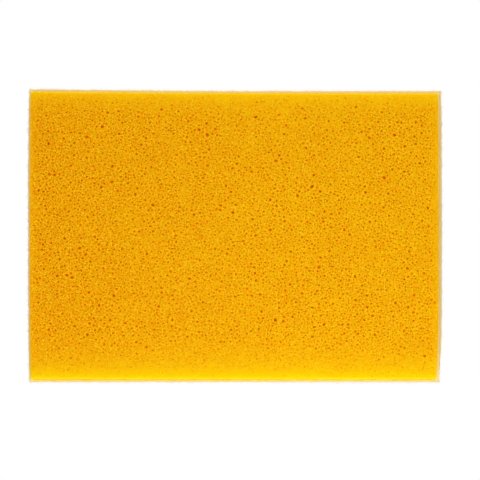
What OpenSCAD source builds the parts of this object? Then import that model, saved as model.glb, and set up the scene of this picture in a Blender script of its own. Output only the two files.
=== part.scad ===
// Sponge grout float: a hand board with a bridge handle and a replaceable wash
// sponge that a hook-and-loop joint holds on. Millimetres, +Z up, standing on the
// sponge's working face, with the origin at the middle of that face.

/* [Pad] */
// Length of the pad, along the handle
pad_length = 240; // [220:5:300]
// Width of the pad, across the handle
pad_width = 170; // [150:5:200]
// Thickness of the sponge block
sponge_thickness = 30; // [20:1:40]
// Thickness of the glue web between the sponge and its backing
film_thickness = 0.4; // [0.2:0.1:0.6]
// Thickness of the loop fabric on the back of the pad
loop_thickness = 1.6; // [1:0.1:3]
// How far the loop fabric stands proud of the sponge at its two ends
overhang_ends = 2; // [0:0.1:3]
// How far the loop fabric stands proud of the sponge along its two sides
overhang_sides = 1.4; // [0:0.1:3]

/* [Hook strips] */
// Thickness of one hook strip without its glue
hook_thickness = 1.2; // [0.8:0.1:2]
// Thickness of the glue that holds a strip to the board
glue_thickness = 0.3; // [0.1:0.1:0.5]
// Length of one hook strip
hook_length = 220; // [180:5:220]
// Width of one hook strip
hook_width = 46; // [30:1:48]
// Distance between the middles of two strips
hook_pitch = 54; // [50:1:54]
// Diameter of the punched holes that leave the screw heads free
punch_d = 11; // [10:0.5:14]

/* [Board] */
// How far the board's edge lies inside the pad's edge
board_inset = 4; // [2:1:8]
// Radius of the board's corners
board_r = 10; // [6:1:20]
// Thickness of the board's skin
skin_thickness = 3; // [2:0.5:5]
// Height of the rim and of the platforms above the skin
rim_height = 5; // [4:0.5:8]
// Width of the rim
rim_width = 3; // [2:0.5:5]
// How far the ribs' tops lie below the rim's top
rib_drop = 1; // [0.5:0.5:2]
// Thickness of the ribs
rib_width = 1.8; // [1:0.1:3]
// Number of rib bays along the board
bays_long = 10; // [8:1:12]
// Number of rib bays across the board
bays_wide = 7; // [5:1:9]

/* [Handle] */
// Where the front foot stands, along the board
front_foot_x = -76; // [-80:1:-70]
// Where the rear foot stands, along the board
rear_foot_x = 64; // [60:1:68]
// Length of a foot's flange
foot_length = 52; // [44:1:56]
// Width of a foot's flange
foot_width = 40; // [34:1:44]
// Thickness of a foot's flange
foot_height = 5; // [4:0.5:7]
// Where the front end of the soft grip lies, from 0 at the front foot to 1 at the tail
grip_from = 0.38; // [0.36:0.005:0.42]
// Where the rear end of the soft grip lies, on the same scale
grip_to = 0.695; // [0.66:0.005:0.7]
// Depth of the groove in the frame that the soft grip fills
grip_depth = 2.5; // [1.5:0.5:3]
// How far the soft grip stands proud of the frame
grip_proud = 1; // [0.5:0.5:2]

/* [Tail plug] */
// Where the plug meets the handle, from 0 at the front foot to 1 at the tail
plug_from = 0.875; // [0.86:0.005:0.885]
// Radius of the plug's spigot
spigot_r = 5; // [4:0.5:5.5]
// Length of the spigot
spigot_length = 16; // [12:1:18]
// Where the hanging eye lies, along the board
eye_x = 97; // [94:1:100]
// Height of the eye above the board's top
eye_rise = 43.5; // [40:0.5:46]
// Radius of the eye's hole
eye_r = 4; // [3:0.5:4.5]
// Outer radius of the eye's boss
eye_boss_r = 8.5; // [8:0.5:10]
// Width of the boss across the handle
eye_width = 18; // [18:1:20]

/* [Screws] */
// Diameter of the shank over its thread
screw_d = 4.5; // [4:0.1:5]
// Overall length of a screw
screw_length = 22; // [18:1:24]
// Diameter of the countersunk head
screw_head_d = 9; // [8:0.1:10]
// Distance between the two screws of one foot
screw_pitch = 20; // [16:1:22]

/* [Hidden] */
$fn = 48;

// Heights of the layers, from the working face upwards
film_z = sponge_thickness;
loop_z = film_z + film_thickness;
hook_z = loop_z + loop_thickness;
glue_z = hook_z + hook_thickness;
board_z = glue_z + glue_thickness;
skin_top = board_z + skin_thickness;
board_top = skin_top + rim_height;

board_length = pad_length - 2 * board_inset;
board_width = pad_width - 2 * board_inset;
platform_margin = 2;
rib_sink = 0.5;

screw_recess = 0.2;
screw_cone = (screw_head_d - screw_d) / 2;
screw_rim = 0.4;
screw_tip = 3;
screw_play = 0.4;
thread_bite = 0.5;
spigot_bite = 0.05;
screw_z = board_z + screw_recess;
drive_slot = [5, 1.1, 1.6];
screw_x = [
    for (foot = [front_foot_x, rear_foot_x], side = [-1, 1])
        foot + side * screw_pitch / 2
];

// The handle's ends start this far up inside its feet
foot_sink = 1.5;

// The handle's sections: place along the board, height above the board's top,
// half width across the board, and half thickness in the plane of the bridge.
bridge = [
    [front_foot_x, foot_sink, 16, 20],
    [front_foot_x, 9, 15, 17.5],
    [front_foot_x + 1, 22, 14, 14],
    [front_foot_x + 9, 38, 13.5, 12.5],
    [front_foot_x + 26, 49, 14, 12],
    [front_foot_x + 50, 53, 15, 12.5],
    [front_foot_x + 76, 53.5, 15.5, 13],
    [rear_foot_x - 38, 51.5, 15, 12.5],
    [rear_foot_x - 12, 48, 14, 12],
    [rear_foot_x + 12, 45, 12, 11],
    [rear_foot_x + 28, 43.8, 9, 9],
    [eye_x + 3, 43.5, 7.5, 6.5]
];
post = [
    [rear_foot_x, foot_sink, 16, 20],
    [rear_foot_x, 9, 15, 17.5],
    [rear_foot_x - 1, 22, 13, 13],
    [rear_foot_x - 3, 34, 12, 11.5],
    [rear_foot_x - 4, 45, 10, 10]
];
section_power = 2.4;
section_sides = 20;
rings_per_gap = 2;
grip_rings = 14;
grip_taper = 0.12;

// Catmull-Rom curve through a list of stations, u from 0 to 1
function clamp_index(p, i) = p[max(0, min(len(p) - 1, i))];
function blend4(a, b, c, d, t) =
    0.5 * (2 * b + (c - a) * t + (2 * a - 5 * b + 4 * c - d) * t * t
        + (3 * b - a - 3 * c + d) * t * t * t);
function station(p, u) =
    let (v = u * (len(p) - 1), i = min(floor(v), len(p) - 2))
    blend4(clamp_index(p, i - 1), p[i], p[i + 1], clamp_index(p, i + 2), v - i);
function heading(p, u) =
    let (
        e = 0.004,
        d = station(p, min(1, u + e)) - station(p, max(0, u - e)),
        flat = u < e ? [0, 1] : [d[0], d[1]]
    )
    flat / norm(flat);
function power(v, p) = sign(v) * pow(abs(v), p);

// One closed ring of a section, grown outwards by grow
function ring(p, u, grow) =
    let (s = station(p, u), t = heading(p, u), half = 2 / section_power)
    [
        for (k = [0:section_sides - 1])
            let (
                turn = 360 * k / section_sides,
                up = (s[3] + grow) * power(cos(turn), half),
                across = (s[2] + grow) * power(sin(turn), half)
            )
            [s[0] - t[1] * up, across, board_top + s[1] + t[0] * up]
    ];

// Lofts through rings; a closed loft joins its last ring to its first one
module loft(rings, closed = false) {
    n = len(rings);
    m = section_sides;
    walls = [
        for (i = [0:(closed ? n - 1 : n - 2)], k = [0:m - 1])
            let (
                a = i * m + k,
                b = i * m + (k + 1) % m,
                c = ((i + 1) % n) * m + (k + 1) % m,
                d = ((i + 1) % n) * m + k
            )
            each [[a, b, c], [a, c, d]]
    ];
    ends = closed ? [] : [
        [for (k = [m - 1:-1:0]) k],
        [for (k = [0:m - 1]) (n - 1) * m + k]
    ];
    polyhedron([for (r = rings) each r], concat(walls, ends));
}

module rounded_slab(length, width, height, r) {
    linear_extrude(height) {
        square([length - 2 * r, width], center = true);
        square([length, width - 2 * r], center = true);
        for (x = [-1, 1], y = [-1, 1])
            translate([x * (length / 2 - r), y * (width / 2 - r)]) circle(r);
    }
}

module pad_layer(z, thickness, ends = 0, sides = 0) {
    translate([-pad_length / 2 - ends, -pad_width / 2 - sides, z])
        cube([pad_length + 2 * ends, pad_width + 2 * sides, thickness]);
}

module sponge_pad() {
    color("orange") pad_layer(0, sponge_thickness);
}

module laminating_film() {
    color("wheat") pad_layer(film_z, film_thickness);
}

module loop_backing() {
    color("ivory") pad_layer(loop_z, loop_thickness, overhang_ends, overhang_sides);
}

// One strip's outline; the middle one is punched over the screw heads
module strip(index, z, thickness) {
    translate([0, index * hook_pitch, z])
        difference() {
            rounded_slab(hook_length, hook_width, thickness, 3);
            if (index == 0)
                for (x = screw_x)
                    translate([x, 0, -1]) cylinder(h = thickness + 2, d = punch_d);
        }
}

module hook_strip(index) {
    color("dimgray") strip(index, hook_z, hook_thickness);
}

module strip_glue() {
    color("gainsboro") for (index = [-1:1]) strip(index, glue_z, glue_thickness);
}

module ribs() {
    rib_z = skin_top - rib_sink;
    rib_height = rim_height - rib_drop + rib_sink;
    for (i = [1:bays_long - 1])
        translate([
            -board_length / 2 + i * board_length / bays_long - rib_width / 2,
            -board_width / 2 + rim_width / 2, rib_z
        ])
            cube([rib_width, board_width - rim_width, rib_height]);
    for (j = [1:bays_wide - 1])
        translate([
            -board_length / 2 + rim_width / 2,
            -board_width / 2 + j * board_width / bays_wide - rib_width / 2, rib_z
        ])
            cube([board_length - rim_width, rib_width, rib_height]);
}

module rim() {
    translate([0, 0, board_z])
        difference() {
            rounded_slab(board_length, board_width, board_top - board_z, board_r);
            translate([0, 0, skin_thickness])
                rounded_slab(
                    board_length - 2 * rim_width, board_width - 2 * rim_width,
                    rim_height + 1, board_r - rim_width
                );
        }
}

module platforms() {
    for (x = [front_foot_x, rear_foot_x])
        translate([x, 0, skin_top - rib_sink])
            rounded_slab(
                foot_length + 2 * platform_margin, foot_width + 2 * platform_margin,
                rim_height + rib_sink, 9
            );
}

module screw_passage() {
    translate([0, 0, -1]) cylinder(h = 30, d = screw_d + screw_play);
    translate([0, 0, -1]) cylinder(h = 1 + screw_recess + screw_rim, d = screw_head_d + screw_play);
    translate([0, 0, screw_recess + screw_rim])
        cylinder(h = screw_cone, d1 = screw_head_d, d2 = screw_d);
}

module base_plate() {
    color("lightgray")
        difference() {
            union() {
                rim();
                ribs();
                platforms();
            }
            for (x = screw_x) translate([x, 0, board_z]) screw_passage();
        }
}

// The bridge's rings, with a groove between the two ends of the soft grip
function open_rings(p, from, to, count, grow) = [
    for (i = [0:count]) ring(p, from + (to - from) * i / count, grow)
];
bridge_gaps = (len(bridge) - 1) * rings_per_gap;
front_rings = floor(grip_from * bridge_gaps);
rear_rings = floor((plug_from - grip_to) * bridge_gaps);
plug_rings = 2;

plug_place = station(bridge, plug_from);

module foot(x) {
    translate([x, 0, board_top]) rounded_slab(foot_length, foot_width, foot_height, 9);
}

module handle_frame() {
    color("dimgray")
        difference() {
            union() {
                loft(concat(
                    open_rings(bridge, 0, grip_from, front_rings, 0),
                    open_rings(bridge, grip_from, grip_to, grip_rings, -grip_depth),
                    open_rings(bridge, grip_to, plug_from, rear_rings, 0)
                ));
                loft(open_rings(post, 0, 1, (len(post) - 1) * rings_per_gap, 0));
                foot(front_foot_x);
                foot(rear_foot_x);
            }
            translate([plug_place[0] - spigot_length - 1, 0, board_top + plug_place[1]])
                rotate([0, 90, 0]) cylinder(h = 2 * spigot_length, r = spigot_r);
            for (x = screw_x)
                translate([x, 0, board_top - 1])
                    cylinder(
                        h = screw_z + screw_length + 2 - board_top + 1,
                        d = screw_d - thread_bite
                    );
        }
}

// The grip's outside is proud of the frame, and runs down to it at both ends
function grip_swell(w) = grip_proud * sqrt(min(1, min(w, 1 - w) / grip_taper));

module soft_grip() {
    color("darkslategray")
        loft(concat(
            open_rings(bridge, grip_from, grip_to, grip_rings, -grip_depth),
            [
                for (i = [grip_rings:-1:0])
                    let (w = i / grip_rings)
                    ring(bridge, grip_from + (grip_to - grip_from) * w, grip_swell(w))
            ]
        ), closed = true);
}

module tail_plug() {
    color("dimgray")
        difference() {
            union() {
                loft(open_rings(bridge, plug_from, 1, plug_rings, 0));
                translate([eye_x, eye_width / 2, board_top + eye_rise])
                    rotate([90, 0, 0]) cylinder(h = eye_width, r = eye_boss_r);
                translate([plug_place[0] - spigot_length, 0, board_top + plug_place[1]])
                    rotate([0, 90, 0]) cylinder(h = spigot_length + 3, r = spigot_r + spigot_bite);
            }
            translate([eye_x, eye_width, board_top + eye_rise])
                rotate([90, 0, 0]) cylinder(h = 2 * eye_width, r = eye_r);
        }
}

module drive_cross() {
    for (turn = [0, 90])
        rotate([0, 0, turn])
            translate([-drive_slot[0] / 2, -drive_slot[1] / 2, -1])
                cube([drive_slot[0], drive_slot[1], drive_slot[2] + 1]);
}

module screw() {
    difference() {
        union() {
            cylinder(h = screw_rim, d = screw_head_d);
            translate([0, 0, screw_rim])
                cylinder(h = screw_cone, d1 = screw_head_d, d2 = screw_d);
            translate([0, 0, screw_rim])
                cylinder(h = screw_length - screw_rim - screw_tip, d = screw_d);
            translate([0, 0, screw_length - screw_tip])
                cylinder(h = screw_tip, d1 = screw_d, d2 = 1);
        }
        drive_cross();
    }
}

module handle_screws() {
    color("silver") for (x = screw_x) translate([x, 0, screw_z]) screw();
}

sponge_pad();
laminating_film();
loop_backing();
hook_strip(-1);  // hook_strip_left
hook_strip(0);  // hook_strip_middle
hook_strip(1);  // hook_strip_right
strip_glue();
base_plate();
handle_frame();
soft_grip();
tail_plug();
handle_screws();
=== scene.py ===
import math

import bpy
import numpy as np
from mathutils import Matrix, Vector, noise
from mathutils.geometry import delaunay_2d_cdt


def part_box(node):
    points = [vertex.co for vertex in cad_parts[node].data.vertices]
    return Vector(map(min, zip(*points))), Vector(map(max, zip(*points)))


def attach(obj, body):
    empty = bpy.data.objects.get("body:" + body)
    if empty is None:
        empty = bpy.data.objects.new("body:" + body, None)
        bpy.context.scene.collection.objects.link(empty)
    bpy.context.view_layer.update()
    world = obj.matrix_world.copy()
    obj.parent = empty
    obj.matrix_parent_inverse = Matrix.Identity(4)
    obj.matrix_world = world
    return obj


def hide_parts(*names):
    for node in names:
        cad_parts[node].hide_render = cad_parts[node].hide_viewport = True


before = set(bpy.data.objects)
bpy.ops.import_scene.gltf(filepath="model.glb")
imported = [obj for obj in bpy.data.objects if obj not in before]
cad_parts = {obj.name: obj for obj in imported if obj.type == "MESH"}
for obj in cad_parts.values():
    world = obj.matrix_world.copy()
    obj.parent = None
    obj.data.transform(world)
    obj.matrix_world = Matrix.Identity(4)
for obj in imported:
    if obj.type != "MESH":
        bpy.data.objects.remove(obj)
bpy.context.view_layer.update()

# A sponge grout float: a wash sponge on a loop backing, hooked under a ribbed board with a bridge handle.
# Lengths in the dictionaries are millimetres, but for the studio's; the meshes are in metres.
mm = 0.001


def boxOf(nodeName):
    low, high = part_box(nodeName)
    return np.array(low) / mm, np.array(high) / mm


def addPiece(name, points, faces, body, material, replaces=(), sharpAngle=None):
    mesh = bpy.data.meshes.new(name)
    mesh.from_pydata((np.asarray(points) * mm).tolist(), [], faces)
    mesh.validate()
    mesh.shade_smooth()
    if sharpAngle is not None:
        mesh.set_sharp_from_angle(angle=math.radians(sharpAngle))
    piece = bpy.data.objects.new(name, mesh)
    bpy.context.scene.collection.objects.link(piece)
    piece.data.materials.append(material)
    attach(piece, body)
    if replaces:
        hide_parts(*replaces)
    return piece


def addAttribute(piece, label, values):
    made = piece.data.attributes.new(label, "FLOAT", "POINT")
    made.data.foreach_set("value", values.astype(np.float32))


def ringFaces(ringCount, sideCount, closedLoop=False):
    faces = []
    last = ringCount if closedLoop else ringCount - 1
    for i in range(last):
        nextRing = (i + 1) % ringCount
        for k in range(sideCount):
            nextSide = (k + 1) % sideCount
            faces.append((i * sideCount + k, nextRing * sideCount + k,
                          nextRing * sideCount + nextSide, i * sideCount + nextSide))
    if not closedLoop:
        faces.append(tuple(range(sideCount)))
        faces.append(tuple((ringCount - 1) * sideCount + k for k in reversed(range(sideCount))))
    return faces


def outward(points, faces):
    # Turns a closed shape's faces round if they look inwards.
    volume = 0.0
    for f in faces:
        for k in range(1, len(f) - 1):
            volume += np.linalg.det(np.array((points[f[0]], points[f[k]], points[f[k + 1]])))
    return points, (faces if volume > 0 else [tuple(reversed(f)) for f in faces])


def keepUsed(points, faces):
    used = np.unique(np.array([i for face in faces for i in face]))
    place = np.zeros(len(points), int)
    place[used] = np.arange(len(used))
    return points[used], [tuple(int(place[i]) for i in face) for face in faces]


def slowWave(points, seed, size):
    return np.array([noise.noise(Vector((p[0] / size, p[1] / size, p[2] / size + seed))) for p in points])


def roundedOutline(width, height, radius, step, middle=(0.0, 0.0), likeSize=None):
    # likeSize sets how many points each part gets, so rings of different sizes match.
    likeSize = likeSize or (width, height, radius)
    turns = max(3, int(likeSize[2] * 1.57 / step))
    points = []
    for quarter, (sx, sy) in enumerate(((1, 1), (-1, 1), (-1, -1), (1, -1))):
        cx, cy = sx * (width / 2 - radius), sy * (height / 2 - radius)
        arc = [(cx + radius * math.cos(math.pi / 2 * (quarter + k / turns)),
                cy + radius * math.sin(math.pi / 2 * (quarter + k / turns))) for k in range(turns + 1)]
        nx, ny = ((-1, 1), (-1, -1), (1, -1), (1, 1))[quarter]
        following = (nx * (width / 2 - radius) + radius * (0, -1, 0, 1)[quarter],
                     ny * (height / 2 - radius) + radius * (1, 0, -1, 0)[quarter])
        cuts = max(1, round((likeSize[quarter % 2] - 2 * likeSize[2]) / step))
        last = arc[-1]
        points += arc
        for i in range(1, cuts):
            points.append((last[0] + (following[0] - last[0]) * i / cuts,
                           last[1] + (following[1] - last[1]) * i / cuts))
    return np.array(points) + np.array(middle)


def setInputs(tree, made, values):
    for key, value in values.items():
        if isinstance(value, bpy.types.NodeSocket):
            tree.links.new(value, made.inputs[key])
        else:
            made.inputs[key].default_value = value
    return made


def addNode(tree, kind, inputs=None, **settings):
    made = tree.nodes.new("ShaderNode" + kind)
    for key, value in settings.items():
        setattr(made, key, value)
    return setInputs(tree, made, inputs or {})


def maths(tree, operation, a, b=0.0, clamp=False):
    return addNode(tree, "Math", {0: a, 1: b}, operation=operation, use_clamp=clamp).outputs[0]


def mapRange(tree, value, fromLow, fromHigh, toLow=0.0, toHigh=1.0):
    return addNode(tree, "MapRange", {"Value": value, "From Min": fromLow, "From Max": fromHigh,
                                      "To Min": toLow, "To Max": toHigh}).outputs[0]


def mixColour(tree, share, a, b):
    return addNode(tree, "Mix", {0: share, 6: a, 7: b}, data_type="RGBA").outputs[2]


def noiseAt(tree, coordinates, size, detail=2.0, roughness=0.5):
    return addNode(tree, "TexNoise", {"Vector": coordinates, "Scale": 1 / (size * mm), "Detail": detail,
                                      "Roughness": roughness}).outputs["Fac"]


def placeOf(tree):
    return addNode(tree, "TexCoord").outputs["Object"]


def attributeOf(tree, label):
    return addNode(tree, "Attribute", attribute_name=label).outputs["Fac"]


def newGroup(name, inputs, outputs):
    tree = bpy.data.node_groups.new(name, "ShaderNodeTree")
    for label, value in inputs:
        socket = tree.interface.new_socket(label, in_out="INPUT", socket_type="NodeSocketFloat")
        socket.default_value = value
    for label in outputs:
        tree.interface.new_socket(label, in_out="OUTPUT", socket_type="NodeSocketFloat")
    start, end = tree.nodes.new("NodeGroupInput"), tree.nodes.new("NodeGroupOutput")
    return tree, start.outputs, end.inputs


def useGroup(tree, name, **values):
    made = addNode(tree, "Group", node_tree=bpy.data.node_groups[name])
    return setInputs(tree, made, values).outputs


def newMaterial(name, **shader):
    material = bpy.data.materials.new(name)
    material.use_nodes = True
    tree = material.node_tree
    surface = tree.nodes["Principled BSDF"]
    for key, value in shader.items():
        surface.inputs[key].default_value = value
    return material, tree, surface


def bump(tree, surface, height, strength, distance):
    made = addNode(tree, "Bump", {"Height": height, "Strength": strength, "Distance": distance * mm})
    tree.links.new(made.outputs[0], surface.inputs["Normal"])


def makeCutFoam():
    # Fine cells of cut foam: tiny open pits with painted shade, a grain on the walls between them, painted
    # highlight specks, and slow mottling.
    tree, given, out = newGroup("cutFoam", [("Cell Size", 0.5), ("Openness", 0.3)],
                                ["Pits", "Wall Highlights", "Mottle", "Height"])
    place = placeOf(tree)
    scale = maths(tree, "DIVIDE", 1000.0, given["Cell Size"])
    cells = addNode(tree, "TexVoronoi", {"Vector": place, "Scale": scale, "Randomness": 1.0})
    shape = mapRange(tree, cells.outputs["Distance"], 0.14, given["Openness"], 1.0, 0.0)
    chosen = mapRange(tree, noiseAt(tree, place, 2.3, 1.0), 0.44, 0.6)
    pits = maths(tree, "MULTIPLY", shape, chosen, clamp=True)
    grain = noiseAt(tree, place, 0.32, 3.0, 0.65)
    speckle = noiseAt(tree, place, 0.8, 2.0, 0.75)
    height = maths(tree, "SUBTRACT", grain, maths(tree, "MULTIPLY", pits, 1.6))
    tree.links.new(pits, out["Pits"])
    tree.links.new(mapRange(tree, speckle, 0.49, 0.64), out["Wall Highlights"])
    tree.links.new(noiseAt(tree, place, 26.0, 3.0, 0.6), out["Mottle"])
    tree.links.new(height, out["Height"])


def makeMouldGrain():
    # The fine spark-eroded grain of a mould, and the slow change in its gloss.
    tree, given, out = newGroup("mouldGrain", [("Grain Size", 0.35), ("Gloss Change", 0.12)],
                                ["Height", "Gloss", "Tone"])
    place = placeOf(tree)
    scale = maths(tree, "DIVIDE", 1000.0, given["Grain Size"])
    grain = addNode(tree, "TexNoise", {"Vector": place, "Scale": scale, "Detail": 2.0}).outputs["Fac"]
    slow = noiseAt(tree, place, 18.0, 2.0)
    centred = maths(tree, "SUBTRACT", slow, 0.5)
    tree.links.new(grain, out["Height"])
    tree.links.new(maths(tree, "MULTIPLY", centred, given["Gloss Change"]), out["Gloss"])
    tree.links.new(slow, out["Tone"])


def makeEdgeWear():
    # Paler, smoother edges where a corner stands proud and gets rubbed.
    tree, given, out = newGroup("edgeWear", [("Amount", 0.5), ("Start", 0.53)], ["Worn"])
    proud = addNode(tree, "NewGeometry").outputs["Pointiness"]
    end = maths(tree, "ADD", given["Start"], 0.09)
    edge = mapRange(tree, proud, given["Start"], end)
    broken = mapRange(tree, noiseAt(tree, placeOf(tree), 1.6, 4.0, 0.7), 0.38, 0.62)
    worn = maths(tree, "MULTIPLY", edge, broken)
    tree.links.new(maths(tree, "MULTIPLY", worn, given["Amount"]), out["Worn"])


def makeGroutHaze():
    # A thin pale film of dried grout that gathers in patches.
    tree, given, out = newGroup("groutHaze", [("Amount", 0.1)], ["Haze"])
    place = placeOf(tree)
    patches = mapRange(tree, noiseAt(tree, place, 14.0, 5.0, 0.62), 0.46, 0.7)
    specks = mapRange(tree, noiseAt(tree, place, 0.9, 2.0), 0.3, 0.75)
    haze = maths(tree, "MULTIPLY", patches, specks)
    tree.links.new(maths(tree, "MULTIPLY", haze, given["Amount"]), out["Haze"])


def makeKnit():
    # Rows of tiny stitches, seen on the loop fabric's ground and on the hook tape's back.
    tree, given, out = newGroup("knitGround", [("Stitch", 1.0)], ["Height", "Shade"])
    place = placeOf(tree)
    scale = maths(tree, "DIVIDE", 2 * math.pi * 1000.0, given["Stitch"])
    axes = addNode(tree, "SeparateXYZ", {0: place}).outputs
    wander = maths(tree, "MULTIPLY", noiseAt(tree, place, 4.0, 2.0), 3.0)
    wales, courses = (
        maths(tree, "SINE", maths(tree, "ADD", maths(tree, "MULTIPLY", axes[axis], scale), wander))
        for axis in (0, 1))
    stitches = maths(tree, "MULTIPLY", wales, courses)
    fluff = noiseAt(tree, place, 0.25, 3.0, 0.7)
    height = maths(tree, "ADD", maths(tree, "MULTIPLY", stitches, 0.3), fluff)
    tree.links.new(height, out["Height"])
    tree.links.new(mapRange(tree, height, 0.2, 0.9), out["Shade"])


for makeEffect in (makeCutFoam, makeMouldGrain, makeEdgeWear, makeGroutHaze, makeKnit):
    makeEffect()
print("stage: shared effects made")


foamBlock = {
    # Painted light and shade among these colours: the deeper end colour is painted shade towards one end,
    # pore is painted shade in the pores and pits, wall is painted highlights on the walls between them, and
    # rim is painted light at the edges.
    "core": (0.845, 0.356, 0.0008, 1), "pale": (0.880, 0.415, 0.0010, 1),
    "paintedShadeEnd": (0.815, 0.318, 0.0008, 1), "wall": (1.0, 0.680, 0.0120, 1),
    "pore": (0.800, 0.120, 0.0002, 1), "rim": (1.0, 0.68, 0.0008, 1),
    "scatter": 0.35, "reach": 4.0,  # how much light soaks in, and how far
    "seed": 11, "perSquareMm": 0.235, "middleR": 0.52, "spreadR": 0.27, "smallestR": 0.32, "largestR": 1.3,
    "gap": 0.2, "sides": 8, "deep": 0.88, "cluster": 7.0, "crowding": 1.25, "sideShare": 0.7,
    "fadeFace": (5.0, 6.0, 13.0, 26.0), "fadeSide": (3.0, 3.0, 3.5, 3.0),  # where the pores thin out
    "edgeStep": 1.0, "rounding": 1.1, "waist": 0.3, "waver": 0.22, "ragged": 0.16,
    "draft": (0.8, 1.7, 1.5, 1.7),  # how far the face is drawn in, at -X, +X, -Y and +Y
    "frontDip": 1.2, "endBow": 0.6, "cornerTaper": 1.9, "tornSlow": 0.5, "tornFine": 0.7,
    # The glow keys, the shares, rimTone and rimTilt shape the painted rim light.
    "glowBack": 6.5, "glowFront": 4.5, "glowEnds": 2.0, "glowDown": 2.5,  # how far the paler rim reaches
    "frontShare": 0.56, "endShare": 0.12, "sideGlow": 0.12, "rimTone": 0.045, "rimTilt": 0.035,
}
spongeLow, spongeHigh = boxOf("sponge_pad")
spongeSize = spongeHigh - spongeLow


def spongeMaterial():
    look = foamBlock
    material, tree, surface = newMaterial("cut sponge foam", **{
        "Roughness": 0.95, "Specular IOR Level": 0.02,
        "Subsurface Weight": look["scatter"], "Subsurface Radius": (1.0, 0.42, 0.02),
        "Subsurface Scale": look["reach"] * mm})
    foam = useGroup(tree, "cutFoam", **{"Cell Size": 0.62, "Openness": 0.36})
    # Both attributes are painted light: depth holds each pore's painted shade, skin the painted rim light
    # along the edges.
    depth, skin = attributeOf(tree, "paintedPoreShade"), attributeOf(tree, "paintedRimLight")
    colour = mixColour(tree, mapRange(tree, foam["Mottle"], 0.3, 0.7), look["core"], look["pale"])
    # Painted shade: the foam is made a shade darker towards the -X end, standing in for light falling off
    # there.
    along = addNode(tree, "SeparateXYZ", {0: placeOf(tree)}).outputs[0]
    colour = mixColour(tree, mapRange(tree, along, 0.01, -0.125, 0.0, 0.85), colour, look["paintedShadeEnd"])
    # Painted light: the paler rim colour is mixed in along the block's edges, standing in for light soaking
    # in there.
    colour = mixColour(tree, skin, colour, look["rim"])
    inside = maths(tree, "SUBTRACT", 1.0, maths(tree, "MULTIPLY", skin, 0.85))
    # Painted highlights: bright specks on the walls between the pores, kept off the painted rim.
    walls = maths(tree, "MULTIPLY", maths(tree, "MULTIPLY", foam["Wall Highlights"], 0.85), inside)
    # Painted shade: the tiny pits get the darker pore colour, kept off the painted rim.
    pits = maths(tree, "MULTIPLY", maths(tree, "MULTIPLY", foam["Pits"], 0.55), inside)
    colour = mixColour(tree, walls, colour, look["wall"])
    colour = mixColour(tree, pits, colour, look["pore"])
    # Painted shade: the pores are mixed towards the darker, redder pore colour, as far as their painted shade
    # says.
    colour = mixColour(tree, maths(tree, "MULTIPLY", depth, 0.8, clamp=True), colour, look["pore"])
    tree.links.new(colour, surface.inputs["Base Color"])
    bump(tree, surface, foam["Height"], 0.55, 0.22)
    return material


def outlineBow(points):
    # The block and its backing were cut together and not quite square: one long side dips in the middle,
    # and the right end tapers towards a corner.
    f, half = foamBlock, spongeSize / 2
    across = np.clip(points[:, 1] / half[1], -1, 1)
    along = np.clip(points[:, 0] / half[0], -1, 1)
    towards, away = (1 + across) / 2, (1 - across) / 2
    right = f["endBow"] * away ** 4 + f["cornerTaper"] * towards ** 8
    left = f["endBow"] * np.abs(across) ** 3
    front = f["frontDip"] * (1 - ((1 - along) / 2) ** 3)
    moved = points.copy()
    moved[:, 0] -= np.where(along > 0, right, -left) * np.abs(along) ** 3
    moved[:, 1] += np.where(across < 0, front, 0.0) * np.abs(across) ** 3
    return moved


def roomAt(x, y, width, height, fades):
    # 0 at a side's rim and 1 where its pores are at full strength.
    return min(x / fades[0], (width - x) / fades[1], y / fades[2], (height - y) / fades[3], 1.0)


def scatterPores(rng, width, height, fades):
    # Largest first, none touching, thicker in clusters, and thinning out towards the edges.
    f = foamBlock
    share = 1.0 if height > 60 else f["sideShare"]  # the block's sides are more closed than its face
    count = int(width * height * f["perSquareMm"] * f["crowding"] * share)
    radii = f["middleR"] * np.exp(f["spreadR"] * rng.standard_normal(count))
    radii = np.sort(np.clip(radii, f["smallestR"], f["largestR"]))[::-1]
    cell, margin, tries = 2 * f["largestR"] + f["gap"], 0.6, 14
    shelf, placed = {}, []
    shift = float(rng.uniform(0, 90))
    for r in radii:
        for _ in range(tries):
            x = rng.uniform(r + margin, width - r - margin)
            y = rng.uniform(r + margin, height - r - margin)
            crowd = 0.72 + 0.5 * noise.noise(Vector((x / f["cluster"], y / f["cluster"], shift)))
            if rng.random() > roomAt(x, y, width, height, fades) ** 1.5 * crowd:
                continue
            near = [p for i in (-1, 0, 1) for j in (-1, 0, 1)
                    for p in shelf.get((int(x // cell) + i, int(y // cell) + j), ())]
            if all((p[0] - x) ** 2 + (p[1] - y) ** 2 > (p[2] + r + f["gap"]) ** 2 for p in near):
                shelf.setdefault((int(x // cell), int(y // cell)), []).append((x, y, r))
                placed.append((x, y, r))
                break
    return placed


def poreRing(rng, x, y, r, sides):
    # One pore's rim: a rough, stretched and turned circle.
    turn = rng.uniform(0, 2 * math.pi)
    stretch, lean = rng.uniform(0.82, 1.2), rng.uniform(0, math.pi)
    ring = []
    for k in range(sides):
        a = turn + 2 * math.pi * k / sides
        reach = r * rng.uniform(0.88, 1.08)
        px, py = reach * math.cos(a) * stretch, reach * math.sin(a) / stretch
        ring.append((x + px * math.cos(lean) - py * math.sin(lean),
                     y + px * math.sin(lean) + py * math.cos(lean)))
    return ring


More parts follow.
